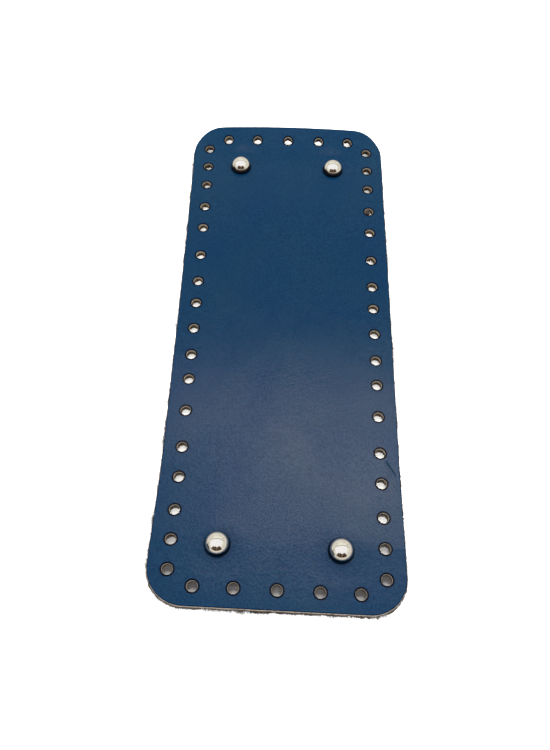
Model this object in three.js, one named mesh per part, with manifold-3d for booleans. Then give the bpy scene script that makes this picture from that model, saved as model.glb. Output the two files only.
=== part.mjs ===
// Leather base for a crocheted or knitted bag: one rounded rectangle of thick leather with
// a row of lacing holes round its border, and four domed metal feet, each one screwed
// through the leather from the flesh side.
// Millimetres, +Z up. X runs across the base, Y along it, and the feet point up.
// The origin is the middle of the base, on the plane that the four screw heads stand on.

import * as THREE from 'three';
import { mergeVertices } from 'three/addons/utils/BufferGeometryUtils.js';
import Module from 'manifold-3d';

const wasm = await Module();
wasm.setup();

// Leather panel
const PANEL_LENGTH = 250;
const PANEL_WIDTH = 100;
const PANEL_THICKNESS = 3.25;
const CORNER_RADIUS = 15;

// Lacing holes: a column along each long side and a row along each end
const LACE_HOLE_RADIUS = 2.5;
const SIDE_MARGIN = 8; // long edge to the centres of a column
const END_MARGIN = 7.5; // short edge to the centres of a row
const SIDE_PITCHES = [14, 12.5, 15.5, 17, 13.5, 14.5, 12.5, 12]; // middle hole to corner hole
const END_PITCHES = [16.5, 15.5]; // middle hole to the last one before the corner

// Feet: put in by hand at about 25 mm from both edges, so no two insets are quite the same
const FOOT_PLACES = [
  { corner: 'near_left', x: -24, y: -100 },
  { corner: 'near_right', x: 25, y: -101 },
  { corner: 'far_left', x: -25, y: 99.5 },
  { corner: 'far_right', x: 23.5, y: 99.5 },
];
const DOME_RADIUS = 5.25;
const DOME_HEIGHT = 5.5;
const DOME_SKIRT = 0.5; // straight rim under the dome's curve
const SHANK_RADIUS = 2;
const SHANK_LENGTH = 3;
const FOOT_HOLE_RADIUS = 2.25;
const TAPPED_RADIUS = 1.6;
const TAPPED_DEPTH = 4.75;

// Fixings on the flesh side
const SCREW_HEAD_RADIUS = 4;
const SCREW_HEAD_THICKNESS = 1;
const SCREW_CHAMFER = 0.25;
const SCREW_RADIUS = 1.3;
const SCREW_LENGTH = 4.5;
const SLOT_WIDTH = 1.2;
const SLOT_DEPTH = 0.5;
const SLOT_TURNS = [0.5, 2.1, 1.2, 2.8]; // each screw stops where it is tight, in radians
const WASHER_RADIUS = 4.5;
const WASHER_HOLE_RADIUS = 1.75;
const WASHER_THICKNESS = 0.5;

// Heights worked out from the stack of screw head, washer, leather and dome
const WASHER_BASE = SCREW_HEAD_THICKNESS;
const PANEL_BASE = WASHER_BASE + WASHER_THICKNESS;
const PANEL_TOP = PANEL_BASE + PANEL_THICKNESS;

// Fineness of the round shapes
const HOLE_DIVISIONS = 10;
const LATHE_SEGMENTS = 24;
const DOME_STEPS = 7;

const leather = new THREE.MeshStandardMaterial({ color: 0x1f4569, roughness: 0.5, metalness: 0 });
const nickel = new THREE.MeshStandardMaterial({ color: 0xd8d6d0, roughness: 0.08, metalness: 1 });
const steel = new THREE.MeshStandardMaterial({ color: 0xb9b8b4, roughness: 0.28, metalness: 1 });

/** A mesh with the name of its sub-part. */
function namedMesh(name, geometry, material) {
  const mesh = new THREE.Mesh(geometry, material);
  mesh.name = name;
  return mesh;
}

/** Centres of all lacing holes, as [x, y]. The pattern is the same in all four quarters. */
function lacingHoleCentres() {
  const columnX = PANEL_WIDTH / 2 - SIDE_MARGIN;
  const rowY = PANEL_LENGTH / 2 - END_MARGIN;
  const centres = [[-columnX, 0], [columnX, 0], [0, -rowY], [0, rowY]];
  let y = 0;
  for (const pitch of SIDE_PITCHES) {
    y += pitch;
    centres.push([-columnX, -y], [-columnX, y], [columnX, -y], [columnX, y]);
  }
  let x = 0;
  for (const pitch of END_PITCHES) {
    x += pitch;
    centres.push([-x, -rowY], [-x, rowY], [x, -rowY], [x, rowY]);
  }
  return centres;
}

/** Rectangle with round corners, centred on the origin. */
function roundedRectangle(width, length, radius) {
  const cornerX = width / 2 - radius;
  const cornerY = length / 2 - radius;
  const quarter = Math.PI / 2;
  const shape = new THREE.Shape();
  shape.absarc(cornerX, cornerY, radius, 0, quarter);
  shape.absarc(-cornerX, cornerY, radius, quarter, 2 * quarter);
  shape.absarc(-cornerX, -cornerY, radius, 2 * quarter, 3 * quarter);
  shape.absarc(cornerX, -cornerY, radius, 3 * quarter, 4 * quarter);
  shape.closePath();
  return shape;
}

/** A round hole for a shape. */
function roundHole(x, y, radius) {
  return new THREE.Path().absarc(x, y, radius, 0, 2 * Math.PI, true);
}

/** The leather, cut to its outline and punched for the lacing and the feet. */
function leatherPanel() {
  const outline = roundedRectangle(PANEL_WIDTH, PANEL_LENGTH, CORNER_RADIUS);
  for (const [x, y] of lacingHoleCentres()) {
    outline.holes.push(roundHole(x, y, LACE_HOLE_RADIUS));
  }
  for (const { x, y } of FOOT_PLACES) {
    outline.holes.push(roundHole(x, y, FOOT_HOLE_RADIUS));
  }
  const geometry = new THREE.ExtrudeGeometry(outline, {
    depth: PANEL_THICKNESS,
    bevelEnabled: false,
    curveSegments: HOLE_DIVISIONS,
  });
  const panel = namedMesh('leather_panel', geometry, leather);
  panel.position.z = PANEL_BASE;
  return panel;
}

/** A solid of revolution about +Z from [radius, height] points. */
function turned(profile) {
  const points = profile.map(([radius, height]) => new THREE.Vector2(radius, height));
  return new THREE.LatheGeometry(points, LATHE_SEGMENTS).rotateX(Math.PI / 2);
}

/** Dome and hollow shank in one piece, with the dome's flat underside at height 0. */
function domeGeometry() {
  const profile = [
    [0, TAPPED_DEPTH - SHANK_LENGTH],
    [TAPPED_RADIUS, TAPPED_DEPTH - SHANK_LENGTH],
    [TAPPED_RADIUS, -SHANK_LENGTH],
    [SHANK_RADIUS, -SHANK_LENGTH],
    [SHANK_RADIUS, 0],
    [DOME_RADIUS, 0],
  ];
  for (let step = 0; step < DOME_STEPS; step += 1) {
    const angle = (step / DOME_STEPS) * (Math.PI / 2);
    const rise = (DOME_HEIGHT - DOME_SKIRT) * Math.sin(angle);
    profile.push([DOME_RADIUS * Math.cos(angle), DOME_SKIRT + rise]);
  }
  profile.push([0, DOME_HEIGHT]);
  return turned(profile);
}

/** Flat ring that spreads the screw's pull on the soft flesh side. */
function washerGeometry() {
  return turned([
    [WASHER_HOLE_RADIUS, 0],
    [WASHER_RADIUS, 0],
    [WASHER_RADIUS, WASHER_THICKNESS],
    [WASHER_HOLE_RADIUS, WASHER_THICKNESS],
    [WASHER_HOLE_RADIUS, 0],
  ]);
}

/** A closed geometry as a solid that can be cut. */
function toSolid(geometry) {
  const bare = geometry.clone();
  bare.deleteAttribute('normal');
  bare.deleteAttribute('uv');
  const merged = mergeVertices(bare);
  const mesh = new wasm.Mesh({
    numProp: 3,
    vertProperties: new Float32Array(merged.attributes.position.array),
    triVerts: new Uint32Array(merged.index.array),
  });
  return new wasm.Manifold(mesh);
}

/** A cut solid as a geometry again. */
function toGeometry(solid) {
  const mesh = solid.getMesh();
  const geometry = new THREE.BufferGeometry();
  geometry.setAttribute('position', new THREE.BufferAttribute(mesh.vertProperties, 3));
  geometry.setIndex(new THREE.BufferAttribute(mesh.triVerts, 1));
  geometry.computeVertexNormals();
  return geometry;
}

/** Screw with a slotted flat head. The head's face is at height 0 and the shank points up. */
function screwGeometry() {
  const blank = turned([
    [0, 0],
    [SCREW_HEAD_RADIUS - SCREW_CHAMFER, 0],
    [SCREW_HEAD_RADIUS, SCREW_CHAMFER],
    [SCREW_HEAD_RADIUS, SCREW_HEAD_THICKNESS],
    [SCREW_RADIUS, SCREW_HEAD_THICKNESS],
    [SCREW_RADIUS, SCREW_HEAD_THICKNESS + SCREW_LENGTH],
    [0, SCREW_HEAD_THICKNESS + SCREW_LENGTH],
  ]);
  const slotLength = 2 * SCREW_HEAD_RADIUS + 1;
  const slot = new THREE.BoxGeometry(slotLength, SLOT_WIDTH, 2 * SLOT_DEPTH);
  return toGeometry(toSolid(blank).subtract(toSolid(slot)));
}

/** One foot with its fixings, standing on the plane of the screw heads. */
function foot({ corner, x, y }, slotTurn) {
  const dome = namedMesh(`foot_dome_${corner}`, domeGeometry(), nickel);
  dome.position.z = PANEL_TOP;
  const washer = namedMesh(`foot_washer_${corner}`, washerGeometry(), steel);
  washer.position.z = WASHER_BASE;
  const screw = namedMesh(`foot_screw_${corner}`, screwGeometry(), steel);
  screw.rotation.z = slotTurn;
  const group = new THREE.Group();
  group.position.set(x, y, 0);
  group.add(dome, washer, screw);
  return group;
}

const bagBase = new THREE.Group();
bagBase.add(leatherPanel());
FOOT_PLACES.forEach((place, index) => bagBase.add(foot(place, SLOT_TURNS[index])));

export default bagBase;
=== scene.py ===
import math
import random

import bpy
import numpy as np
from mathutils import Matrix, Vector, geometry, noise


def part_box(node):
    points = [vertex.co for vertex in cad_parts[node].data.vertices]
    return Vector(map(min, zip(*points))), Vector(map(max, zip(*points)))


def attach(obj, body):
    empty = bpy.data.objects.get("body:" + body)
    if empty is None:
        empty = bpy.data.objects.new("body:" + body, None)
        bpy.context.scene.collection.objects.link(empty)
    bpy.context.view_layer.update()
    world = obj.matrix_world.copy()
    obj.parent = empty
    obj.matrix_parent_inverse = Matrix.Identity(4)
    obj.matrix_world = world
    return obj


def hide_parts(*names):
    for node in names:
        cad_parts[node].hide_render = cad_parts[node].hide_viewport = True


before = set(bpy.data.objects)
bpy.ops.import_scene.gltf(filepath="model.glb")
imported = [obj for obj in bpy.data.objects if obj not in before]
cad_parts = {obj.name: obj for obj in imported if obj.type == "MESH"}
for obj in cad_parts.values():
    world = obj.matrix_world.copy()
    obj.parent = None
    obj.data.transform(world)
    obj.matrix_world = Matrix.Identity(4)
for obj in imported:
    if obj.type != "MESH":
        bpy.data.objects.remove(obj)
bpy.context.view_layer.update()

MM = 0.001
TINY = 1e-6  # places nearer than this are the same, in metres

# ---------------------------------------------------------------- the CAD frame
PANEL_LOW, PANEL_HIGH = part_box("leather_panel")
GRAIN_Z = PANEL_HIGH.z
THICKNESS = PANEL_HIGH.z - PANEL_LOW.z
HALF_WIDTH = PANEL_HIGH.x
HALF_LENGTH = PANEL_HIGH.y
CORNERS = ("near_left", "near_right", "far_left", "far_right")


def middle_of(node):
    """Centre of a CAD node's box."""
    low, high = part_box(node)
    return (low + high) / 2


FEET = {corner: middle_of("foot_dome_" + corner) for corner in CORNERS}
FOOT_Y = FEET["far_right"].y
FOOT_RADIUS = FEET["far_right"].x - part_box("foot_dome_far_right")[0].x


def grain_face_points():
    """Every corner of the CAD leather's top face, once, as x and y."""
    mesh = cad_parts["leather_panel"].data
    top = [v.co[:2] for v in mesh.vertices if abs(v.co.z - GRAIN_Z) < TINY]
    return np.unique(np.round(top, 7), axis=0)


def round_holes(points, link=1.5 * MM, fewest=9, largest=4 * MM):
    """Centre and radius of each round hole: a ring of points that lie close together."""
    left = set(range(len(points)))
    holes = []
    while left:
        ring, reached = [], [left.pop()]
        while reached:
            at = reached.pop()
            ring.append(at)
            near = [k for k in left if np.hypot(*(points[k] - points[at])) < link]
            left.difference_update(near)
            reached.extend(near)
        centre = points[ring].mean(axis=0)
        reach = np.hypot(*(points[ring] - centre).T)
        if len(ring) >= fewest and reach.max() < largest:
            holes.append((centre[0], centre[1], reach.mean()))
    return sorted(holes)


FACE_POINTS = grain_face_points()
HOLES = round_holes(FACE_POINTS)
END_X = FACE_POINTS[np.abs(FACE_POINTS[:, 1] - HALF_LENGTH) < TINY][:, 0]
CORNER_RADIUS = HALF_WIDTH - END_X.max()
CORNER_X = HALF_WIDTH - CORNER_RADIUS  # middles of the corner arcs
CORNER_Y = HALF_LENGTH - CORNER_RADIUS

# ---------------------------------------------------------------- the leather's shape
EDGE_STEP = 0.32 * MM  # along the outline
HOLE_STEPS = 44  # round each hole
GRID_STEP = 3.0 * MM  # inside the faces
RIM = 0.38 * MM  # rounding of the grain side's edge
HOLE_RIM = 0.42 * MM  # and of a punched hole's
FACE_SHARES = (1, 0.6, 0.35, 0.15, 0.06)  # rings on the face beside a cut, from far to near
RIM_STEPS = 4
WALL_STEPS = 9
FLESH_RIM = (0.25 * MM, 0.05 * MM)  # the cut turns in between these heights over the flesh side
FLESH_INSET = 0.3 * MM  # and reaches in this far on the flesh side
SKIRT = 0.25 * MM  # how far the outer cut spreads towards the flesh side
TAPER = -0.22 * MM  # and a punched hole is a little wider there
FRAY = 0.74 * MM  # raggedness of the outer cut at the flesh side
HOLE_FRAY = 0.10 * MM
FRAY_TOP = 0.08  # share of the raggedness that reaches up to the grain side
STRAND = 0.9 * MM  # sizes of what stands out
FINE_STRAND = 0.42 * MM
TUFT = 3.5 * MM
HOLE_DRAWN = 0.40 * MM  # how far the fibres have closed in again round a punched hole
SAG_MIDDLE = 0.9 * MM  # between the feet, along the middle
SAG_EDGE = 1.4 * MM  # and along the long edges
LIFT_NEAR = 0.03  # slope of the near end beyond the feet
LIFT_FAR = 0.13  # and of the far end
CUP_FAR = 0.4  # the far end's middle lifts more than that by this share, its corners less
CREEP_NEAR_FROM = 0.5 * HALF_LENGTH  # the near end has crept from here on
CREEP_NEAR_FULL = 0.9 * HALF_LENGTH
CREEP_SKEW = 0.0165  # slope by which it is out of square
CREEP_SPREAD = 0.5 * MM  # its left side has crept outwards
CREEP_WIDER = 0.011  # it has spread by this share
CREEP_SHORTER = 0.75 * MM  # and drawn in
CREEP_FAR_FROM = 0.3 * HALF_LENGTH  # the far end has crept from here on
CREEP_FAR = 0.010  # slope by which it is out of square
CREEP_FAR_PIVOT = -0.2 * HALF_WIDTH  # about this place
CREEP_REACH = 1.5 * MM  # how far the far edge has stretched
CREEP_REACH_FROM = 0.93 * HALF_LENGTH
CREEP_BACK = 0.3 * MM  # the whole hide has crept towards the near end
CREEP_BOW = 0.8 * MM  # and its middle to the right of its far end
BOW_CROWN = -0.36 * HALF_LENGTH  # most of all here
BOW_SHARE = 0.35  # and there this share of the bow right of its CAD place
LIFT_BEND = 10 * MM  # length over which the ends start to lift
CLAMPED = 5.6 * MM  # flat round each foot, from its middle
RELAXED = 15 * MM  # the clamping is no longer felt from here on
WAVE = 0.12 * MM  # unevenness of the hide
WAVE_SIZE = 42 * MM
LOWEST = 0.02 * MM  # the leather never reaches below this
SLOPE_STEP = 0.1 * MM  # for measuring the slope of the draped leather


def uneven(x, y):
    """Slow unevenness of the hide at arrays of places."""
    at = zip(np.ravel(x) / WAVE_SIZE, np.ravel(y) / WAVE_SIZE)
    return WAVE * np.array([noise.noise(Vector((u, v, 3.7))) for u, v in at]).reshape(np.shape(x))


def smooth(value, low, high):
    """0 below low, 1 above high, smooth between, for arrays."""
    share = np.clip((value - low) / (high - low), 0, 1)
    return share**2 * (3 - 2 * share)


def held(x, y):
    """0 where a foot clamps the leather, 1 where it is free, at arrays of places."""
    free = np.ones(np.shape(x))
    for foot in FEET.values():
        free = free * smooth(np.hypot(x - foot.x, y - foot.y), CLAMPED, RELAXED)
    return free


def creep(x, y):
    """Where places of the square-cut panel have moved to in the worn hide."""
    near = smooth(-y, CREEP_NEAR_FROM, CREEP_NEAR_FULL) * held(x, y)
    far = smooth(y, CREEP_FAR_FROM, HALF_LENGTH) * held(x, y)
    aside = CREEP_SPREAD * np.clip(-x / HALF_WIDTH, 0, 1) * near
    wider = 1 + CREEP_WIDER * near
    ahead = (CREEP_SHORTER - CREEP_SKEW * x) * near + CREEP_FAR * (x - CREEP_FAR_PIVOT) * far
    reach = CREEP_REACH * smooth(y, CREEP_REACH_FROM, HALF_LENGTH)
    bow = CREEP_BOW * (BOW_SHARE - ((y - BOW_CROWN) / (HALF_LENGTH - BOW_CROWN)) ** 2)
    return x * wider - aside + bow * held(x, y), y + ahead + reach - CREEP_BACK * held(x, y)


def drape(x, y):
    """Height of the relaxed leather over its flat CAD face, at arrays of places."""
    along = np.clip(1 - (y / FOOT_Y) ** 2, 0, 1)
    across = (x / HALF_WIDTH) ** 2
    sag = SAG_MIDDLE + (SAG_EDGE - SAG_MIDDLE) * across
    past = np.clip(np.abs(y) - FOOT_Y, 0, None)
    slope = np.where(y < 0, LIFT_NEAR, LIFT_FAR * (1 + CUP_FAR * (1 - 2 * across)))
    lift = slope * (np.sqrt(past**2 + LIFT_BEND**2) - LIFT_BEND)
    return (lift - sag * along + uneven(x, y)) * held(x, y)


def lay(x, y, depth):
    """Places on or in the draped leather, depth below its grain side, as an (n, 3) array."""
    x, y = creep(x, y)
    slope_x = (drape(x + SLOPE_STEP, y) - drape(x - SLOPE_STEP, y)) / (2 * SLOPE_STEP)
    slope_y = (drape(x, y + SLOPE_STEP) - drape(x, y - SLOPE_STEP)) / (2 * SLOPE_STEP)
    size = np.sqrt(slope_x**2 + slope_y**2 + 1)
    return np.stack(
        [
            x + depth * slope_x / size,
            y + depth * slope_y / size,
            np.maximum(GRAIN_Z + drape(x, y) - depth / size, LOWEST),
        ],
        axis=1,
    )


def ray_at(angle):
    """A direction of length 1."""
    return np.array([math.cos(angle), math.sin(angle)])


def outline(step=EDGE_STEP):
    """The panel's edge, anticlockwise: places and outward directions, both (n, 2)."""
    places, outward = [], []
    quarter = math.pi / 2
    turns = max(8, round(quarter * CORNER_RADIUS / step))
    width, length = 2 * CORNER_X, 2 * CORNER_Y
    starts = [(1, 1, width), (-1, 1, length), (-1, -1, width), (1, -1, length)]
    for index, (side_x, side_y, straight) in enumerate(starts):
        corner = np.array([side_x * CORNER_X, side_y * CORNER_Y])
        for k in range(turns):
            ray = ray_at((index + k / turns) * quarter)
            places.append(corner + CORNER_RADIUS * ray)
            outward.append(ray)
        ray = ray_at((index + 1) * quarter)
        start = corner + CORNER_RADIUS * ray
        ahead = np.array([-ray[1], ray[0]])
        count = round(straight / step)
        for k in range(count):
            places.append(start + ahead * straight * k / count)
            outward.append(ray)
    return np.array(places), np.array(outward)


def ring_of(hole):
    """A hole's wall, clockwise: places and directions out of the leather, both (n, 2)."""
    x, y, radius = hole
    angle = -2 * math.pi * np.arange(HOLE_STEPS) / HOLE_STEPS
    ray = np.stack([np.cos(angle), np.sin(angle)], axis=1)
    return np.array([x, y]) + (radius - HOLE_DRAWN) * ray, -ray


def edge_profile(cut):
    """(inset, depth) steps from the grain face over the rim and down the cut to the flesh side."""
    reach, spread, rim = cut["reach"], cut["spread"], cut["rim"]
    steps = [(rim + (reach - rim) * share, 0.0) for share in FACE_SHARES]
    for k in range(RIM_STEPS + 1):
        angle = k / RIM_STEPS * math.pi / 2
        steps.append((rim * (1 - math.sin(angle)), rim * (1 - math.cos(angle))))
    wall = THICKNESS - FLESH_RIM[0] - rim
    for k in range(1, WALL_STEPS + 1):
        share = k / WALL_STEPS
        steps.append((-spread * share, rim + wall * share))
    steps.append((-spread * 0.7, THICKNESS - FLESH_RIM[1]))
    steps.append((FLESH_INSET, THICKNESS))
    steps.append((reach, THICKNESS))
    return steps


def fray(place, depth, size):
    """How far the cut fibres stand out at a place, more towards the flesh side."""
    share = max(0.0, depth / THICKNESS)
    at = Vector((place[0], place[1], depth * 2.5))
    strands = noise.noise(at / STRAND) + 0.8 * noise.noise(at / FINE_STRAND)
    tufts = max(0.0, noise.noise(at / TUFT))
    return size * (FRAY_TOP + (1 - FRAY_TOP) * share**1.5) * (strands + 1.2 * tufts)


class LeatherMesh:
    """Collects the vertices, faces and edge values of the one closed leather body."""

    def __init__(self):
        self.places = []
        self.depths = []
        self.rims = []
        self.stains = []
        self.faces = []
        self.kinds = []
        self.count = 0

    def add(self, points, depth, rim=0.0, stain=0.5):
        """Adds points and returns their numbers."""
        start = self.count
        self.places.append(points)
        self.depths.append(np.full(len(points), depth / THICKNESS))
        self.rims.append(np.full(len(points), rim))
        self.stains.append(np.full(len(points), stain))
        self.count += len(points)
        return np.arange(start, self.count)

    def strip(self, above, below, kind):
        """Quads between two closed rings of the same length."""
        after_above, after_below = np.roll(above, -1), np.roll(below, -1)
        for quad in zip(above, below, after_below, after_above):
            self.faces.append(tuple(int(v) for v in quad))
            self.kinds.append(kind)

    def wall(self, places, outward, cut):
        """The rings from the grain face to the flesh face along one cut. Returns both end rings."""
        rings = []
        rim = cut["rim"]
        for inset, depth in edge_profile(cut):
            flat = places - outward * inset
            if depth > rim:
                stand = np.array([fray(p, depth, cut["ragged"]) for p in flat])
                flat = flat + outward * stand[:, None]
            # the rim value marks the dark rim: partly burnished, partly painted shade of the rounded edge
            away = max(0.0, inset - cut["dark"]) if depth <= rim else 0.0
            near = 1 - min(1.0, away / BURNISH_AND_SHADE_FADE)
            rings.append(self.add(lay(flat[:, 0], flat[:, 1], depth), depth, near, cut["stain"]))
            if len(rings) > 1:
                kind = DYED if depth <= cut["raw_from"] * rim else RAW
                self.strip(rings[-2], rings[-1], kind)
        return rings[0], rings[-1]


DYED, RAW = 0, 1  # material numbers
EDGE_REACH = 2.4 * MM
HOLE_REACH = 1.3 * MM
BURNISH_AND_SHADE_FADE = 0.3 * MM
MERGE_DISTANCE = 1e-9
OUTER_CUT = {
    "reach": EDGE_REACH,  # its own rings take up this much of the face
    "rim": RIM,
    "raw_from": 0.7,  # share of the rim's depth where the dye ends
    "dark": 0.05 * MM,  # the burnished line, with painted shade of the rounded edge, reaches in this far, and fades from there
    "spread": SKIRT,
    "ragged": FRAY,
    "stain": 1.0,  # 1 where handling has darkened the fibres
}
HOLE_CUT = {
    "reach": HOLE_REACH,
    "rim": HOLE_RIM,
    "raw_from": 0.35,
    "dark": 0.62 * MM,
    "spread": TAPER,
    "ragged": HOLE_FRAY,
    "stain": 0.0,
}


def inside_outline(x, y, inset):
    """True where places are inside the panel's outline moved in by inset, for arrays."""
    past_x = np.clip(np.abs(x) - CORNER_X, 0, None)
    past_y = np.clip(np.abs(y) - CORNER_Y, 0, None)
    return np.hypot(past_x, past_y) < CORNER_RADIUS - inset


def inner_points(holes):
    """A grid of places inside the faces, clear of every cut."""
    xs = np.arange(-HALF_WIDTH, HALF_WIDTH, GRID_STEP) + GRID_STEP / 2
    ys = np.arange(-HALF_LENGTH, HALF_LENGTH, GRID_STEP) + GRID_STEP / 2
    x, y = (a.ravel() for a in np.meshgrid(xs, ys))
    clear = inside_outline(x, y, EDGE_REACH + 0.5 * GRID_STEP)
    for hole_x, hole_y, radius in holes:
        clear &= np.hypot(x - hole_x, y - hole_y) > radius + HOLE_REACH + 0.4 * GRID_STEP
    return np.stack([x[clear], y[clear]], axis=1)


def build_leather():
    """The draped, punched and frayed leather as one closed mesh."""
    body = LeatherMesh()
    cuts = [(*outline(), OUTER_CUT)] + [(*ring_of(hole), HOLE_CUT) for hole in HOLES]
    flat, edges, grain, flesh = [], [], [], []
    for places, outward, cut in cuts:
        first = len(flat)
        count = len(places)
        flat.extend(Vector(p) for p in places - outward * cut["reach"])
        edges.extend((first + k, first + (k + 1) % count) for k in range(count))
        above, below = body.wall(places, outward, cut)
        grain.extend(above)
        flesh.extend(below)
    inside = inner_points(HOLES)
    flat.extend(Vector(p) for p in inside)
    grain.extend(body.add(lay(inside[:, 0], inside[:, 1], 0.0), 0.0))
    flesh.extend(body.add(lay(inside[:, 0], inside[:, 1], THICKNESS), THICKNESS))
    made = geometry.delaunay_2d_cdt(flat, edges, [], 0, MERGE_DISTANCE, True)
    points, triangles, sources = made[0], made[2], made[3]
    centres = np.array([(x, y) for x, y, _ in HOLES])
    radii = np.array([radius for _, _, radius in HOLES]) + 0.9 * HOLE_REACH
    for triangle in triangles:
        middle = np.array(sum((points[k] for k in triangle), Vector((0, 0))) / 3)
        if (np.hypot(*(centres - middle).T) < radii).any():
            continue
        if not inside_outline(*middle, EDGE_REACH):
            continue
        corners = [sources[k][0] for k in triangle]
        body.faces.append(tuple(int(grain[k]) for k in corners))
        body.kinds.append(DYED)
        body.faces.append(tuple(int(flesh[k]) for k in reversed(corners)))
        body.kinds.append(RAW)
    return mesh_object("bag_base_leather", body)


def mesh_object(name, body):
    """A Blender object from the collected leather."""
    mesh = bpy.data.meshes.new(name)
    mesh.from_pydata(np.concatenate(body.places).tolist(), [], body.faces)
    for label, values in (("depth", body.depths), ("rim", body.rims), ("stain", body.stains)):
        attribute = mesh.attributes.new(label, "FLOAT", "POINT")
        attribute.data.foreach_set("value", np.concatenate(values).astype(np.float32))
    mesh.polygons.foreach_set("material_index", body.kinds)
    mesh.polygons.foreach_set("use_smooth", [True] * len(body.faces))
    mesh.validate()
    obj = bpy.data.objects.new(name, mesh)
    bpy.context.scene.collection.objects.link(obj)
    return obj


# ---------------------------------------------------------------- node helpers
def new_material(name):
    """An empty material with its Principled shader, its tree and the shader node."""
    material = bpy.data.materials.new(name)
    material.use_nodes = True
    tree = material.node_tree
    return material, tree, tree.nodes["Principled BSDF"]


def add_node(tree, kind, settings=None, **inputs):
    """A node with settings on the node and values or links on its inputs, by name or as i0, i1."""
    made = tree.nodes.new("ShaderNode" + kind)
    for key, value in (settings or {}).items():
        setattr(made, key, value)
    for key, value in inputs.items():
        numbered = key[0] == "i" and key[1:].isdigit()
        socket = made.inputs[int(key[1:]) if numbered else key]
        if isinstance(value, bpy.types.NodeSocket):
            tree.links.new(value, socket)
        else:
            socket.default_value = value
    return made


def object_place(tree):
    """Position in the object's own space."""
    return add_node(tree, "TexCoord").outputs["Object"]


def noise_value(tree, place, size, detail=3.0, roughness=0.55, stretch=None):
    """Noise with blobs of about the given size in metres."""
    if stretch is not None:
        mapping = add_node(tree, "Mapping", Vector=place, Scale=stretch)
        place = mapping.outputs["Vector"]
    grain = {"Scale": 1 / size, "Detail": detail, "Roughness": roughness}
    return add_node(tree, "TexNoise", Vector=place, **grain).outputs["Fac"]


def ramp(tree, value, stops):
    """A colour ramp from (place, colour) stops."""
    made = add_node(tree, "ValToRGB", Fac=value)
    elements = made.color_ramp.elements
    while len(elements) < len(stops):
        elements.new(0.5)
    for element, (place, colour) in zip(elements, stops):
        element.position = place
        element.color = (*colour, 1.0)
    return made.outputs["Color"]


def blend(tree, share, first, second, kind="MIX"):
    """A mix of two colours."""
    made = add_node(tree, "Mix", {"data_type": "RGBA", "blend_type": kind})
    for socket, value in ((0, share), (6, first), (7, second)):
        if isinstance(value, bpy.types.NodeSocket):
            tree.links.new(value, made.inputs[socket])
        elif socket == 0:
            made.inputs[socket].default_value = value
        else:
            made.inputs[socket].default_value = (*value, 1.0)
    return made.outputs[2]


def maths(tree, operation, first, second=0.0):
    """One arithmetic node."""
    return add_node(tree, "Math", {"operation": operation}, i0=first, i1=second).outputs[0]


def times(tree, first, second):
    """The product of two values."""
    return maths(tree, "MULTIPLY", first, second)


def spread(tree, value, low, high):
    """A 0 to 1 value mapped to low to high."""
    return add_node(tree, "MapRange", i0=value, i1=0.0, i2=1.0, i3=low, i4=high).outputs[0]


def soft_step(tree, value, low, high):
    """0 below low, 1 above high, smooth between."""
    settings = {"interpolation_type": "SMOOTHSTEP"}
    return add_node(tree, "MapRange", settings, i0=value, i1=low, i2=high).outputs[0]


def window(tree, value, one_end, other_end):
    """1 between two soft steps, 0 past them. Each step is (0 here, 1 here)."""
    return times(tree, soft_step(tree, value, *one_end), soft_step(tree, value, *other_end))


def bump(tree, height, strength, distance, under=None):
    """A bump node, on top of another one if given."""
    inputs = {"Height": height, "Strength": strength, "Distance": distance}
    if under is not None:
        inputs["Normal"] = under
    return add_node(tree, "Bump", None, **inputs).outputs["Normal"]


def attribute(tree, name):
    """A float that the mesh carries on its vertices."""
    return add_node(tree, "Attribute", {"attribute_name": name}).outputs["Fac"]


# ---------------------------------------------------------------- materials
DENT_AT = (46.6 * MM, -66 * MM, 0.0)
DENT_ANGLE = math.radians(-58)
DENT_LENGTH = 10 * MM
DENT_WIDTH = 1.0 * MM
FOOT_SHADE_WIDTH = 0.3 * MM  # painted contact shade: dark line in the leather round a foot
DOME_SHADE_FROM = 3.1 * MM  # the domes are darkened with painted shade below this height over the leather
DOME_SHADE_FULL = 2.4 * MM


def dent(tree, place):
    """1 inside the short crease by the right edge, 0 away from it."""
    turned_place = add_node(
        tree,
        "Mapping",
        {"vector_type": "TEXTURE"},
        Vector=place,
        Location=DENT_AT,
        Rotation=(0.0, 0.0, DENT_ANGLE),
        Scale=(DENT_LENGTH / 2, DENT_WIDTH / 2, 1.0),
    ).outputs["Vector"]
    axes = add_node(tree, "SeparateXYZ", Vector=turned_place).outputs
    flat = add_node(tree, "CombineXYZ", X=axes["X"], Y=axes["Y"]).outputs["Vector"]
    distance = add_node(tree, "VectorMath", {"operation": "LENGTH"}, i0=flat).outputs["Value"]
    return soft_step(tree, distance, 1.0, 0.2)


def foot_shade_ring(tree, place):
    """1 in the ring of painted contact shade round the base of a foot, 0 away from it."""
    nearest = 1.0
    for foot in FEET.values():
        middle = (foot.x, foot.y, GRAIN_Z)
        distance = add_node(tree, "VectorMath", {"operation": "DISTANCE"}, i0=place, i1=middle)
        nearest = maths(tree, "MINIMUM", distance.outputs["Value"], nearest)
    return soft_step(tree, nearest, FOOT_RADIUS + FOOT_SHADE_WIDTH, FOOT_RADIUS)


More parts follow.
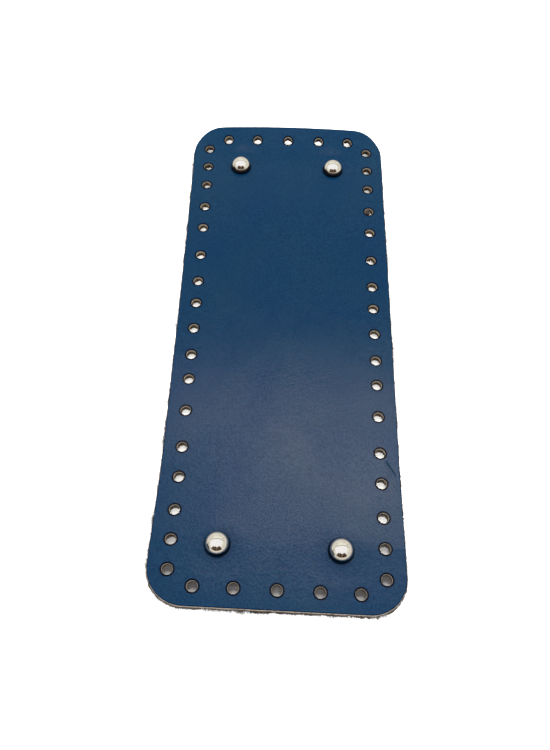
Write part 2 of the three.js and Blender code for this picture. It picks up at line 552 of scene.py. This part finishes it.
def dyed_grain():
    """Blue dyed grain side: cloudy colour, fine pebbled grain, darker rims that are partly burnished and
    partly painted shade, one dent.
    """
    material, tree, shader = new_material("dyed_grain")
    place = object_place(tree)
    clouds = noise_value(tree, place, 34 * MM, detail=5.0, roughness=0.6)
    mottle = noise_value(tree, place, 4 * MM, detail=5.0, roughness=0.7)
    fine = noise_value(tree, place, 0.75 * MM, detail=3.0, roughness=0.65)
    colour = ramp(tree, clouds, [(0.3, (0.0012, 0.046, 0.138)), (0.7, (0.0032, 0.053, 0.132))])
    darker = ramp(tree, mottle, [(0.25, (0.80, 0.85, 0.88)), (0.75, (1.0, 1.0, 1.0))])
    colour = blend(tree, 1.0, colour, darker, "MULTIPLY")
    pores = ramp(tree, fine, [(0.35, (0.62, 0.72, 0.78)), (0.6, (1.10, 1.06, 1.04))])
    colour = blend(tree, 1.0, colour, pores, "MULTIPLY")
    # painted light: the colour is made lighter towards the far end
    along = add_node(tree, "SeparateXYZ", Vector=place).outputs["Y"]
    far_light_share = soft_step(tree, along, 0.4 * HALF_LENGTH, HALF_LENGTH)
    painted_far_light = blend(tree, far_light_share, (1.0, 1.0, 1.0), (1.6, 1.14, 1.10))
    colour = blend(tree, 1.0, colour, painted_far_light, "MULTIPLY")
    # dark rims: partly burnished, partly painted shade of the rounded edge
    rim = attribute(tree, "rim")
    burnish_and_rim_shade = ramp(tree, rim, [(0.1, (1, 1, 1)), (0.6, (0.06, 0.09, 0.13))])
    colour = blend(tree, 1.0, colour, burnish_and_rim_shade, "MULTIPLY")
    crease = dent(tree, place)
    colour = blend(tree, times(tree, crease, 0.75), colour, (0.004, 0.030, 0.045))
    # painted contact shade round each foot: it darkens the colour here and dulls the sheen further down
    pressed = foot_shade_ring(tree, place)
    colour = blend(tree, times(tree, pressed, 0.8), colour, (0.001, 0.006, 0.014))
    tree.links.new(colour, shader.inputs["Base Color"])
    cells = add_node(tree, "TexVoronoi", {"feature": "SMOOTH_F1"}, Vector=place, Scale=1 / (1.0 * MM))
    pebbles = times(tree, cells.outputs["Distance"], 0.8)
    grain = maths(tree, "ADD", pebbles, times(tree, fine, 1.4))
    normal = bump(tree, grain, 0.4, 0.06 * MM)
    normal = bump(tree, noise_value(tree, place, 9 * MM, detail=2.0), 0.5, 0.10 * MM, normal)
    normal = bump(tree, crease, 1.0, -0.15 * MM, normal)
    tree.links.new(normal, shader.inputs["Normal"])
    tree.links.new(spread(tree, mottle, 0.15, 0.20), shader.inputs["Roughness"])
    wear = noise_value(tree, place, 30 * MM, detail=3.0)
    polish = times(tree, spread(tree, wear, 0.08, 0.19), spread(tree, fine, 0.2, 1.8))
    # the painted rim shade also takes the sheen away at the rims
    polish = times(tree, polish, spread(tree, rim, 1.0, 0.2))
    # the painted contact shade round the feet also dulls the sheen there
    polish = times(tree, polish, spread(tree, pressed, 1.0, 0.2))
    tree.links.new(polish, shader.inputs["Specular IOR Level"])
    return material


def raw_leather():
    """Undyed cut edge and flesh side: a pale layer under the grain, then darker brown fibres; in a
    punched hole the dark deep wall is partly painted shade.
    """
    material, tree, shader = new_material("raw_leather")
    place = object_place(tree)
    depth = attribute(tree, "depth")
    layers = noise_value(tree, place, 1.2 * MM, detail=4.0, roughness=0.7, stretch=(1.0, 1.0, 5.0))
    fibres = noise_value(tree, place, 0.35 * MM, detail=3.0, roughness=0.7)
    unevenness = times(tree, maths(tree, "SUBTRACT", layers, 0.5), 0.35)
    tone = maths(tree, "ADD", depth, unevenness)
    # in a punched hole the wall turns dark brown with depth: partly the fibres' own colour, partly
    # painted shade of the recess
    punched = ramp(
        tree,
        tone,
        [
            (0.03, (0.55, 0.53, 0.48)),
            (0.12, (0.72, 0.69, 0.61)),
            (0.30, (0.60, 0.53, 0.42)),
            (0.42, (0.20, 0.145, 0.085)),
            (1.0, (0.11, 0.075, 0.040)),
        ],
    )
    stained = ramp(
        tree,
        tone,
        [
            (0.07, (0.04, 0.045, 0.06)),
            (0.13, (0.52, 0.48, 0.43)),
            (0.27, (0.50, 0.45, 0.39)),
            (0.37, (0.12, 0.095, 0.075)),
            (1.0, (0.05, 0.042, 0.034)),
        ],
    )
    flesh = ramp(tree, layers, [(0.3, (0.24, 0.17, 0.11)), (0.7, (0.36, 0.27, 0.18))])
    stain = attribute(tree, "stain")
    edge = blend(tree, soft_step(tree, stain, 0.55, 0.95), punched, stained)
    under = times(tree, soft_step(tree, depth, 0.96, 0.995), soft_step(tree, stain, 0.99, 0.6))
    colour = blend(tree, under, edge, flesh)
    speckle = ramp(tree, fibres, [(0.3, (0.50, 0.46, 0.42)), (0.7, (1, 1, 1))])
    colour = blend(tree, 0.8, colour, speckle, "MULTIPLY")
    tree.links.new(colour, shader.inputs["Base Color"])
    tree.links.new(spread(tree, fibres, 0.85, 1.0), shader.inputs["Roughness"])
    shader.inputs["Specular IOR Level"].default_value = 0.15
    shader.inputs["Sheen Weight"].default_value = 0.1
    tree.links.new(bump(tree, fibres, 0.7, 0.15 * MM), shader.inputs["Normal"])
    return material


def nickel_plate():
    """Mirror polished plate with faint waviness, smudges and hairline marks, darkened low down with
    painted shade.
    """
    material, tree, shader = new_material("nickel_plate")
    place = object_place(tree)
    smudge = noise_value(tree, place, 2.5 * MM, detail=4.0, roughness=0.6)
    hair = noise_value(tree, place, 0.5 * MM, detail=2.0, stretch=(1.0, 6.0, 1.0))
    plate = ramp(tree, smudge, [(0.3, (0.84, 0.835, 0.79)), (0.7, (0.92, 0.915, 0.875))])
    height = add_node(tree, "SeparateXYZ", Vector=place).outputs["Z"]
    # painted shade: the plate turns dark near the leather, where its base lies in shadow
    painted_base_shade = soft_step(tree, height, GRAIN_Z + DOME_SHADE_FROM, GRAIN_Z + DOME_SHADE_FULL)
    plate = blend(tree, painted_base_shade, plate, (0.09, 0.065, 0.06))
    tree.links.new(plate, shader.inputs["Base Color"])
    tree.links.new(spread(tree, hair, 0.03, 0.12), shader.inputs["Roughness"])
    shader.inputs["Metallic"].default_value = 1.0
    normal = bump(tree, smudge, 0.12, 0.12 * MM)
    tree.links.new(bump(tree, hair, 0.03, 0.02 * MM, normal), shader.inputs["Normal"])
    return material


def zinc_steel():
    """Bright zinc plated steel with the rings that turning leaves."""
    material, tree, shader = new_material("zinc_steel")
    place = object_place(tree)
    rings = add_node(
        tree,
        "TexWave",
        {"wave_type": "RINGS", "rings_direction": "Z"},
        Vector=place,
        Scale=1 / (1.6 * MM),
        Distortion=1.5,
        Detail=2.0,
    ).outputs["Fac"]
    patches = noise_value(tree, place, 1.8 * MM, detail=4.0)
    colour = ramp(tree, patches, [(0.3, (0.56, 0.56, 0.54)), (0.7, (0.72, 0.72, 0.70))])
    tree.links.new(colour, shader.inputs["Base Color"])
    tree.links.new(spread(tree, patches, 0.22, 0.42), shader.inputs["Roughness"])
    shader.inputs["Metallic"].default_value = 1.0
    tree.links.new(bump(tree, rings, 0.15, 0.03 * MM), shader.inputs["Normal"])
    return material


# ---------------------------------------------------------------- fibres on the cut edge
FIBRE_COUNT = 7500
FIBRE_SEED = 7
FIBRE_SPACING = 0.3 * MM  # between the places where they can start
FIBRE_SIDES = 3
FIBRE_PARTS = 3
FIBRE_TAPER = 0.75  # share of the thickness that is lost towards the tip
FIBRE_BAND = 0.45  # they start in this lowest share of the cut
FIBRE_OUT = 0.5 * MM  # where the lowest ones leave the cut, out from the panel's edge
FIBRE_ROOT = 0.1 * MM  # their roots are this far inside of that
FIBRE_TUFT = 6 * MM
FIBRE_SHORTEST = 0.4 * MM
FIBRE_LONGER = 1.5 * MM
FIBRE_THINNEST = 0.045 * MM
FIBRE_THICKEST = 0.11 * MM
FIBRE_ASIDE = (-1.1, 1.1)  # where they head, per unit of length straight out
FIBRE_RISE = (-0.5, 0.45)
FIBRE_CURL = (-0.3, 0.3)  # how much they turn from there, in x and y
FIBRE_DROOP = (-0.4, 0.1)  # and in z


def fibre(path, thickness):
    """One tapered closed strand along a path: its vertices and faces."""
    verts, faces = [], []
    last = len(path) - 1
    for k, at in enumerate(path[:-1]):
        ahead = (path[k + 1] - at).normalized()
        side = ahead.orthogonal().normalized()
        other = ahead.cross(side)
        radius = thickness * (1 - FIBRE_TAPER * k / last)
        for j in range(FIBRE_SIDES):
            angle = 2 * math.pi * j / FIBRE_SIDES
            verts.append(at + radius * (math.cos(angle) * side + math.sin(angle) * other))
    tip = len(verts)
    verts.append(path[-1])
    for k in range(last - 1):
        for j in range(FIBRE_SIDES):
            a, b = k * FIBRE_SIDES + j, k * FIBRE_SIDES + (j + 1) % FIBRE_SIDES
            faces.append((a, b, b + FIBRE_SIDES, a + FIBRE_SIDES))
    top = (last - 1) * FIBRE_SIDES
    for j in range(FIBRE_SIDES):
        faces.append((top + j, top + (j + 1) % FIBRE_SIDES, tip))
    faces.append(tuple(reversed(range(FIBRE_SIDES))))
    return verts, faces


def build_fibres():
    """Loose fibres of the flesh side standing out all along the cut edge."""
    draw = random.Random(FIBRE_SEED)
    places, outward = outline(FIBRE_SPACING)
    verts, faces = [], []
    for _ in range(FIBRE_COUNT):
        k = draw.randrange(len(places))
        out = Vector((*outward[k], 0))
        along = Vector((-out.y, out.x, 0))
        share = 1 - FIBRE_BAND * draw.random() ** 1.5
        inset = FIBRE_ROOT - FIBRE_OUT * share
        flat = places[k] - outward[k] * inset
        depth = np.array([THICKNESS * share])
        root = Vector(lay(flat[:1], flat[1:], depth)[0])
        tuft = 0.5 + max(0.0, noise.noise(root / FIBRE_TUFT) + 0.2)
        length = (FIBRE_SHORTEST + FIBRE_LONGER * draw.random() ** 2) * tuft
        heading = out + along * draw.uniform(*FIBRE_ASIDE) + Vector((0, 0, draw.uniform(*FIBRE_RISE)))
        heading.normalize()
        droop = Vector((draw.uniform(*FIBRE_CURL), draw.uniform(*FIBRE_CURL), draw.uniform(*FIBRE_DROOP)))
        path = [root]
        for _ in range(FIBRE_PARTS):
            path.append(path[-1] + heading * length / FIBRE_PARTS)
            heading = (heading + droop * 0.5).normalized()
        for at in path:
            at.z = max(at.z, LOWEST + FIBRE_THICKEST)
        new_verts, new_faces = fibre(path, draw.uniform(FIBRE_THINNEST, FIBRE_THICKEST))
        faces.extend(tuple(len(verts) + v for v in face) for face in new_faces)
        verts.extend(new_verts)
    mesh = bpy.data.meshes.new("edge_fibres")
    mesh.from_pydata([tuple(v) for v in verts], [], faces)
    obj = bpy.data.objects.new("edge_fibres", mesh)
    bpy.context.scene.collection.objects.link(obj)
    return obj


def loose_fibre():
    """Single strands from almost black to tan."""
    material, tree, shader = new_material("loose_fibre")
    place = object_place(tree)
    tone = noise_value(tree, place, 2.5 * MM, detail=3.0)
    stops = [(0.35, (0.02, 0.016, 0.013)), (0.55, (0.06, 0.046, 0.034)), (0.72, (0.34, 0.28, 0.21))]
    tree.links.new(ramp(tree, tone, stops), shader.inputs["Base Color"])
    fine = noise_value(tree, place, 0.3 * MM)
    tree.links.new(spread(tree, fine, 0.8, 1.0), shader.inputs["Roughness"])
    tree.links.new(bump(tree, fine, 0.3, 0.02 * MM), shader.inputs["Normal"])
    return material


def torn_leather():
    """Grey-brown torn leather of the slug."""
    material, tree, shader = new_material("torn_leather")
    place = object_place(tree)
    tone = noise_value(tree, place, 1.1 * MM, detail=4.0, roughness=0.7)
    stops = [(0.40, (0.010, 0.009, 0.008)), (0.52, (0.07, 0.058, 0.05)), (0.66, (0.22, 0.19, 0.17))]
    tree.links.new(ramp(tree, tone, stops), shader.inputs["Base Color"])
    tree.links.new(spread(tree, tone, 0.8, 1.0), shader.inputs["Roughness"])
    tree.links.new(bump(tree, tone, 0.8, 0.2 * MM), shader.inputs["Normal"])
    return material


# ---------------------------------------------------------------- turned metal pieces
TURNED_SIDES = 96
SHARP_FROM = math.radians(38)  # edges that turn by more stay sharp


def turned(name, profile, at, sides=TURNED_SIDES):
    """A closed solid of revolution about a vertical line through at, from (radius, z) points."""
    verts, faces, rings = [], [], []
    for radius, height in profile:
        if radius == 0:
            rings.append([len(verts)])
            verts.append((0, 0, height))
            continue
        rings.append(list(range(len(verts), len(verts) + sides)))
        for k in range(sides):
            angle = 2 * math.pi * k / sides
            verts.append((radius * math.cos(angle), radius * math.sin(angle), height))
    pairs = list(zip(rings, rings[1:]))
    if len(rings[0]) > 1:
        pairs.append((rings[-1], rings[0]))
    for low, high in pairs:
        for k in range(sides):
            after = (k + 1) % sides
            if len(low) == 1:
                faces.append((low[0], high[after], high[k]))
            elif len(high) == 1:
                faces.append((low[k], low[after], high[0]))
            else:
                faces.append((low[k], low[after], high[after], high[k]))
    mesh = bpy.data.meshes.new(name)
    mesh.from_pydata(verts, [], faces)
    mesh.polygons.foreach_set("use_smooth", [True] * len(faces))
    obj = bpy.data.objects.new(name, mesh)
    obj.location = (at.x, at.y, 0)
    bpy.context.scene.collection.objects.link(obj)
    mesh.set_sharp_from_angle(angle=SHARP_FROM)
    return obj


SHANK = 2.0 * MM  # radius
BORE = 1.6 * MM  # radius
BORE_DEPTH = 4.75 * MM
DRILL_POINT = 0.5 * MM  # height of the cone at the bore's end
SHANK_BREAK = 0.15 * MM  # broken edges at the shank's end
BORE_BREAK = 0.2 * MM
DOME_INSET = 0.1 * MM  # broken edge of the dome on the leather
DOME_BREAK = 0.05 * MM
CROWN = 5.3 * MM  # radius of the dome's round top
CROWN_BEND = math.radians(60)  # where it turns into the tighter side
TUCK = 0.35 * MM  # how far the dome draws in again down to the leather
TUCK_STEPS = 8
SIDE_STEPS = 12
CROWN_STEPS = 24


def build_dome(corner):
    """A domed foot with its tapped shank, in place of the CAD one."""
    low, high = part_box("foot_dome_" + corner)
    radius = (high.x - low.x) / 2
    base, top = GRAIN_Z, high.z
    bore_top = low.z + BORE_DEPTH
    profile = [(0, bore_top), (BORE, bore_top - DRILL_POINT), (BORE, low.z + BORE_BREAK)]
    profile += [(BORE + SHANK_BREAK, low.z), (SHANK - SHANK_BREAK, low.z)]
    profile += [(SHANK, low.z + SHANK_BREAK), (SHANK, base)]
    side = (radius - CROWN * math.sin(CROWN_BEND)) / (1 - math.sin(CROWN_BEND))
    widest = top - CROWN * (1 - math.cos(CROWN_BEND)) - side * math.cos(CROWN_BEND)
    skirt = base + DOME_BREAK
    profile += [(radius - TUCK - DOME_INSET, base), (radius - TUCK, skirt)]
    for k in range(1, TUCK_STEPS):
        share = k / TUCK_STEPS
        profile.append((radius - TUCK * (1 - share) ** 2, skirt + (widest - skirt) * share))
    for k in range(SIDE_STEPS):
        angle = math.pi / 2 - (math.pi / 2 - CROWN_BEND) * k / SIDE_STEPS
        profile.append((radius - side * (1 - math.sin(angle)), widest + side * math.cos(angle)))
    for k in range(CROWN_STEPS + 1):
        angle = CROWN_BEND * (1 - k / CROWN_STEPS)
        profile.append((CROWN * math.sin(angle), top - CROWN * (1 - math.cos(angle))))
    made = turned("foot_dome_polished_" + corner, profile, FEET[corner])
    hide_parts("foot_dome_" + corner)
    return made


WASHER_HOLE = 1.75 * MM  # radius
WASHER_BREAK = 0.08 * MM


def build_washer(corner):
    """A pressed washer with broken edges."""
    low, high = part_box("foot_washer_" + corner)
    outer = (high.x - low.x) / 2
    profile = [
        (WASHER_HOLE, low.z + WASHER_BREAK),
        (WASHER_HOLE + WASHER_BREAK, low.z),
        (outer - WASHER_BREAK, low.z),
        (outer, low.z + WASHER_BREAK),
        (outer, high.z - WASHER_BREAK),
        (outer - WASHER_BREAK, high.z),
        (WASHER_HOLE + WASHER_BREAK, high.z),
        (WASHER_HOLE, high.z - WASHER_BREAK),
    ]
    made = turned("foot_washer_pressed_" + corner, profile, FEET[corner])
    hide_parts("foot_washer_" + corner)
    return made


SLUG_HOLE = 3  # counted from the far end, from 0
SLUG_SHARE = 0.7  # of the hole's radius
SLUG_SUNK = 0.7 * MM  # its top is this far below the grain side
SLUG_THICKNESS = 1.6 * MM
SLUG_ASIDE = (-0.60 * MM, 0.62 * MM)  # pushed against one side of the hole
SLUG_TILT = 0.22
SLUG_BREAK = 0.3 * MM
SLUG_RAGGED = 0.14 * MM
SLUG_LUMPS = (0.8 * MM, 2.2 * MM)  # sizes of its unevenness
SLUG_SEED = 14  # for noise_vector, which would otherwise differ from run to run
SLUG_STEPS = 5
SLUG_SIDES = 40


def build_slug():
    """The punched-out slug that is still stuck in one hole of the right column."""
    column = sorted((hole for hole in HOLES if hole[0] > 0.8 * HALF_WIDTH), key=lambda hole: -hole[1])
    x, y, radius = column[SLUG_HOLE]
    middle = lay(np.array([x]), np.array([y]), 0.0)[0]
    wide = SLUG_SHARE * (radius - HOLE_DRAWN)
    high = middle[2] - SLUG_SUNK
    low = high - SLUG_THICKNESS
    profile = [(0, low), (wide - SLUG_BREAK, low), (wide, low + SLUG_BREAK)]
    profile += [(wide, high - SLUG_BREAK), (wide - SLUG_BREAK, high), (0, high)]
    fine = [profile[0]]
    for start, end in zip(profile, profile[1:]):
        for k in range(1, SLUG_STEPS + 1):
            fine.append(tuple(a + (b - a) * k / SLUG_STEPS for a, b in zip(start, end)))
    at = Vector((middle[0] + SLUG_ASIDE[0], middle[1] + SLUG_ASIDE[1], 0))
    made = turned("punched_slug", fine, at, SLUG_SIDES)
    noise.seed_set(SLUG_SEED)
    for vertex in made.data.vertices:
        lumps = [noise.noise_vector(vertex.co / size) for size in SLUG_LUMPS]
        vertex.co += (lumps[0] + lumps[1]) * SLUG_RAGGED
        vertex.co.z += SLUG_TILT * (vertex.co.y - vertex.co.x)
    return made


# ---------------------------------------------------------------- assembling
def finish_piece(piece, slot, *materials):
    """Gives a piece its materials and makes it ride on the one body. The slot is not used."""
    for material in materials:
        piece.data.materials.append(material)
    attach(piece, "root")


nickel = nickel_plate()
zinc = zinc_steel()

leather = build_leather()
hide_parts("leather_panel")
finish_piece(leather, "dyed_leather", dyed_grain(), raw_leather())
fibres = build_fibres()
finish_piece(fibres, "dyed_leather", loose_fibre())
slug = build_slug()
finish_piece(slug, "dyed_leather", torn_leather())
for corner in CORNERS:
    finish_piece(build_dome(corner), "nickel_plate", nickel)
    finish_piece(build_washer(corner), "zinc_steel", zinc)
    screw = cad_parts["foot_screw_" + corner]
    screw.data.materials.clear()
    screw.data.materials.append(zinc)

# ---------------------------------------------------------------- floor, light and camera
FLOOR_SIZE = 6.0
FLOOR_CLOUDS = 0.4  # metres across
FLOOR_GLOW = 0.012


def pale_floor():
    """Plain matt grey sheet that glows a little, like a photo table lit from below."""
    material, tree, shader = new_material("pale_floor")
    tone = noise_value(tree, object_place(tree), FLOOR_CLOUDS)
    greys = ramp(tree, tone, [(0.3, (0.40, 0.40, 0.40)), (0.7, (0.42, 0.42, 0.42))])
    tree.links.new(greys, shader.inputs["Base Color"])
    shader.inputs["Roughness"].default_value = 0.9
    shader.inputs["Specular IOR Level"].default_value = 0.1
    shader.inputs["Emission Color"].default_value = (1.0, 1.0, 1.0, 1.0)
    shader.inputs["Emission Strength"].default_value = FLOOR_GLOW
    return material


bpy.ops.mesh.primitive_plane_add(size=FLOOR_SIZE)
floor = bpy.context.object
floor.name = "floor"
floor.data.materials.append(pale_floor())
floor.visible_glossy = False


CEILING = (0.98, 0.95, 0.97)
WALL_HIGH = (0.97, 0.95, 0.81)
WALL_LOW = (0.76, 0.71, 0.62)
TABLE = (0.50, 0.43, 0.41)
DUSK = (0.16, 0.09, 0.06)
DUSK_DEEP = (0.012, 0.006, 0.003)
SHADE = (0.07, 0.07, 0.07)
CLUTTER = (0.16, 0.15, 0.10)
SEAM = (0.42, 0.40, 0.33)
PANEL_END = 0.6  # the ceiling panel's far end, along per unit of height
PANEL_ALONG = ((PANEL_END, 0.55), (-1.15, -0.95))  # its soft edges
PANEL_ACROSS = ((-1.8, -1.3), (1.2, 0.9))
CLUTTER_BAND = ((0.15, 0.25), (0.72, 0.60))


def surroundings():
    """A pale room: bright ceiling panel, cream walls, dark on the near side and low at the left."""
    world = bpy.data.worlds.new("room")
    bpy.context.scene.world = world
    world.use_nodes = True
    tree = world.node_tree
    direction = add_node(tree, "TexCoord").outputs["Generated"]
    axes = add_node(tree, "SeparateXYZ", Vector=direction).outputs
    height = axes["Z"]
    rise = maths(tree, "MAXIMUM", height, 0.02)
    along = maths(tree, "DIVIDE", axes["Y"], rise)
    across = maths(tree, "DIVIDE", axes["X"], rise)
    walls = ramp(tree, height, [(0.0, TABLE), (0.03, WALL_LOW), (0.35, WALL_LOW), (0.85, WALL_HIGH)])
    panel = window(tree, along, *PANEL_ALONG)
    panel = times(tree, panel, window(tree, across, *PANEL_ACROSS))
    room = blend(tree, panel, walls, CEILING)
    seam = maths(tree, "ABSOLUTE", maths(tree, "SUBTRACT", along, PANEL_END))
    room = blend(tree, soft_step(tree, seam, 0.12, 0.05), room, SEAM)
    ragged = add_node(tree, "TexNoise", Vector=direction, Scale=4.0, Detail=3.0).outputs["Fac"]
    low = maths(tree, "ADD", height, times(tree, maths(tree, "SUBTRACT", ragged, 0.5), 0.35))
    reach = maths(tree, "ADD", maths(tree, "ABSOLUTE", axes["X"]), times(tree, axes["Y"], 0.98))
    dark = times(tree, soft_step(tree, low, 0.80, 0.72), soft_step(tree, height, 0.20, 0.30))
    dark = times(tree, dark, soft_step(tree, reach, 0.04, -0.04))
    shades = ramp(tree, ragged, [(0.38, DUSK_DEEP), (0.55, DUSK)])
    room = blend(tree, dark, room, shades)
    aside = maths(tree, "SUBTRACT", times(tree, axes["X"], -1.0), times(tree, height, 0.4))
    corner_dark = times(tree, soft_step(tree, aside, 0.72, 0.82), soft_step(tree, height, 0.25, 0.15))
    corner_dark = times(tree, corner_dark, soft_step(tree, axes["Y"], 0.15, -0.15))
    room = blend(tree, corner_dark, room, SHADE)
    clutter = add_node(tree, "TexNoise", Vector=direction, Scale=9.0, Detail=2.0).outputs["Fac"]
    band = window(tree, height, *CLUTTER_BAND)
    band = times(tree, band, soft_step(tree, panel, 0.9, 0.1))
    room = blend(tree, times(tree, soft_step(tree, clutter, 0.60, 0.66), band), room, CLUTTER)
    camera_ray = add_node(tree, "LightPath").outputs["Is Camera Ray"]
    room = blend(tree, camera_ray, room, (1.0, 1.0, 1.0))
    tree.links.new(room, tree.nodes["Background"].inputs["Color"])


def soft_lamp(name, place, height, size, power, colour):
    """A rectangular lamp that shines straight down from a height."""
    data = bpy.data.lights.new(name, "AREA")
    data.shape = "RECTANGLE"
    data.size, data.size_y = size
    data.energy = power
    data.color = colour
    lamp = bpy.data.objects.new(name, data)
    lamp.location = (*place, height)
    bpy.context.scene.collection.objects.link(lamp)
    return lamp


SPOT_COLOUR = (1.0, 0.985, 0.94)
SPOT_BLEND = 0.15
SPOT_RADIUS = 0.01


def spot_lamp(name, place, height, angle, power, lean=0.0):
    """A narrow spot lamp that shines down from a height, leaning towards the far end."""
    data = bpy.data.lights.new(name, "SPOT")
    data.spot_size = angle
    data.spot_blend = SPOT_BLEND
    data.shadow_soft_size = SPOT_RADIUS
    data.color = SPOT_COLOUR
    data.energy = power
    lamp = bpy.data.objects.new(name, data)
    lamp.location = (*place, height)
    lamp.rotation_euler = (lean, 0.0, 0.0)
    bpy.context.scene.collection.objects.link(lamp)
    return lamp


def shine_only_on(name, lamps, receivers):
    """Limits lamps to the objects that they are meant for. The table's don't show as reflections."""
    lit = bpy.data.collections.new(name)
    for receiver in receivers:
        lit.objects.link(receiver)
    for lamp in lamps:
        lamp.light_linking.receiver_collection = lit
        lamp.visible_glossy = name != "table"


LAMP_HEIGHT = 1.12
LAMP_GLOW = 19.5  # watts per square metre of lamp
LAMP_COLOUR = (1.0, 0.84, 0.75)
LAMP_PANELS = {  # left, right, near, far and brightness. The last one adds to the right end
    "ceiling_lamp_main": (-0.09, 0.42, 0.20, 0.57, 1.0),
    "ceiling_lamp_left": (-0.36, -0.09, 0.42, 0.57, 1.0),
    "ceiling_lamp_dim": (-0.20, -0.09, 0.20, 0.42, 0.45),
    "ceiling_lamp_right": (0.24, 0.42, 0.26, 0.57, 0.25),
}
surroundings()
lamps = []
for name, (left, right, near, far, share) in LAMP_PANELS.items():
    middle = ((left + right) / 2, (near + far) / 2)
    panel_size = (right - left, far - near)
    power = LAMP_GLOW * share * panel_size[0] * panel_size[1]
    lamps.append(soft_lamp(name, middle, LAMP_HEIGHT, panel_size, power, LAMP_COLOUR))
shine_only_on("dull_pieces", lamps, [leather, fibres, slug])

WHITE = (1.0, 1.0, 1.0)
TOP_ANGLE = math.radians(7.72)
LOW_ANGLE = math.radians(4.4)
LOW_LEAN = math.radians(45)
BROAD = (4.0, 2.0)  # sizes of lamps
SMALL = (0.45, 0.45)
lamps = [
    soft_lamp("table_lamp_front", place=(0.0, -2.9), height=1.6, size=BROAD, power=1100.0, colour=WHITE),
    soft_lamp("table_lamp_back", place=(0.0, 1.85), height=1.6, size=BROAD, power=430.0, colour=WHITE),
    soft_lamp("table_lamp_high", place=(0.0, 0.62), height=1.5, size=SMALL, power=22.0, colour=WHITE),
    spot_lamp("table_lamp_top", place=(0.0, -0.004), height=1.6, angle=TOP_ANGLE, power=150.0),
    spot_lamp(
        "table_lamp_low",
        place=(0.0, -1.05),
        height=1.15,
        angle=LOW_ANGLE,
        power=170.0,
        lean=LOW_LEAN,
    ),
]
shine_only_on("table", lamps, [floor])

CAMERA_PLACE = Vector((-4.3, -163.9, 269.6)) * MM + Vector((0, 0, GRAIN_Z))
CAMERA_AIM = Vector((-3.38, -24.0, 0)) * MM + Vector((0, 0, GRAIN_Z))
CAMERA_ROLL = math.radians(2.32)
CAMERA_LENS = 32.65
CAMERA_SENSOR = 36.0
CAMERA_NEAREST = 0.01


def camera():
    """The camera above the near end, rolled a little."""
    data = bpy.data.cameras.new("camera")
    data.lens = CAMERA_LENS
    data.sensor_width = CAMERA_SENSOR
    data.clip_start = CAMERA_NEAREST
    made = bpy.data.objects.new("camera", data)
    track = (CAMERA_AIM - CAMERA_PLACE).to_track_quat("-Z", "Y")
    turn = track.to_matrix() @ Matrix.Rotation(CAMERA_ROLL, 3, "Z")
    made.matrix_world = Matrix.Translation(CAMERA_PLACE) @ turn.to_4x4()
    bpy.context.scene.collection.objects.link(made)
    bpy.context.scene.camera = made


camera()
bpy.context.scene.view_settings.view_transform = "Standard"
